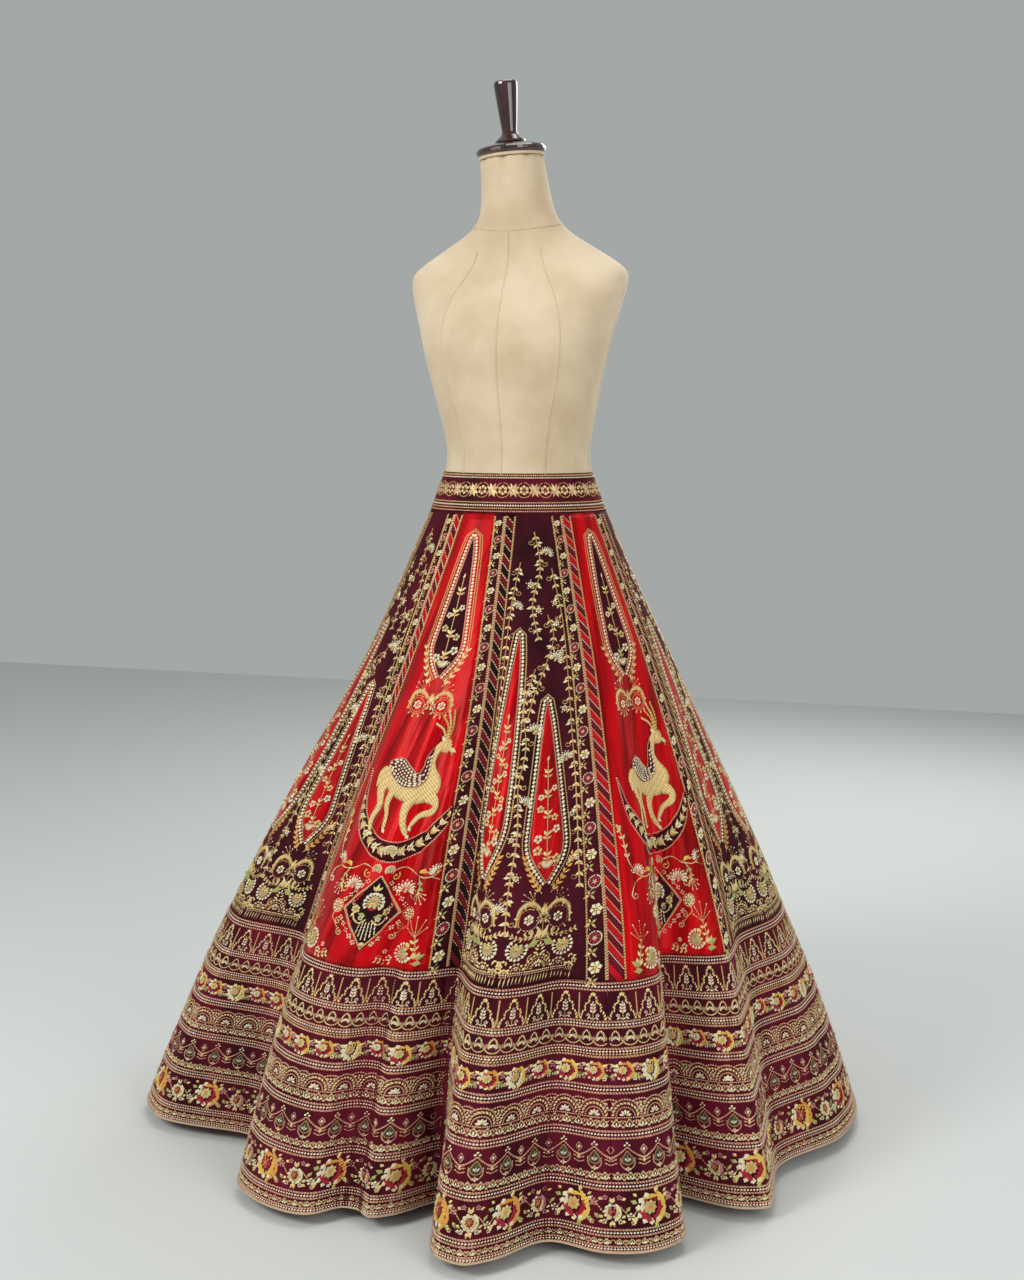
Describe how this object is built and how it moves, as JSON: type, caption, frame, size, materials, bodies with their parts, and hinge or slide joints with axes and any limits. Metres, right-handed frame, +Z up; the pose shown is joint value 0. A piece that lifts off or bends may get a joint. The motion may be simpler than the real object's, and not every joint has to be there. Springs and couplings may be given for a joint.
{
  "type": "lehenga skirt on dress form",
  "caption": "Long flared lehenga skirt of red and maroon gores with an embroidered border and waistband, hung in folds on a limbless dress form with a plain stand.",
  "frame": {"origin": "on the floor, under the stand's pole, at the middle of the base plate's underside", "axes": "+Z up, -Y towards the dress form's front, +X towards the form's left side"},
  "size_m": [1.1624, 1.2128, 1.6939],
  "materials": {
    "red_satin": "glossy red satin",
    "maroon_velvet": "deep maroon velvet with a rosy nap",
    "gold_thread": "antique gold zari thread and beads",
    "form_canvas": "cream cotton canvas cover",
    "dark_wood": "dark lacquered turned wood",
    "stand_metal": "black powder coat"
  },
  "bodies": {
    "root": {"waistband": "maroon_velvet", "kali_01_stripes": "maroon_velvet", "kali_01_panel": "red_satin", "kali_01_flowers": "maroon_velvet", "kali_01_border": "maroon_velvet", "kali_02_stripes": "maroon_velvet", "kali_02_panel": "maroon_velvet", "kali_02_flowers": "maroon_velvet", "kali_02_border": "maroon_velvet", "kali_03_stripes": "maroon_velvet", "kali_03_panel": "red_satin", "kali_03_flowers": "maroon_velvet", "kali_03_border": "maroon_velvet", "kali_04_stripes": "maroon_velvet", "kali_04_panel": "maroon_velvet", "kali_04_flowers": "maroon_velvet", "kali_04_border": "maroon_velvet", "kali_05_stripes": "maroon_velvet", "kali_05_panel": "red_satin", "kali_05_flowers": "maroon_velvet", "kali_05_border": "maroon_velvet", "kali_06_stripes": "maroon_velvet", "kali_06_panel": "maroon_velvet", "kali_06_flowers": "maroon_velvet", "kali_06_border": "maroon_velvet", "kali_07_stripes": "maroon_velvet", "kali_07_panel": "red_satin", "kali_07_flowers": "maroon_velvet", "kali_07_border": "maroon_velvet", "kali_08_stripes": "maroon_velvet", "kali_08_panel": "maroon_velvet", "kali_08_flowers": "maroon_velvet", "kali_08_border": "maroon_velvet", "kali_09_stripes": "maroon_velvet", "kali_09_panel": "red_satin", "kali_09_flowers": "maroon_velvet", "kali_09_border": "maroon_velvet", "kali_10_stripes": "maroon_velvet", "kali_10_panel": "maroon_velvet", "kali_10_flowers": "maroon_velvet", "kali_10_border": "maroon_velvet", "form_torso": "form_canvas", "form_neck_ring": "form_canvas", "form_neck_cap": "dark_wood", "form_handle": "dark_wood", "stand_pole": "stand_metal", "stand_collar": "stand_metal", "stand_base": "stand_metal"}
  },
  "joints": []
}
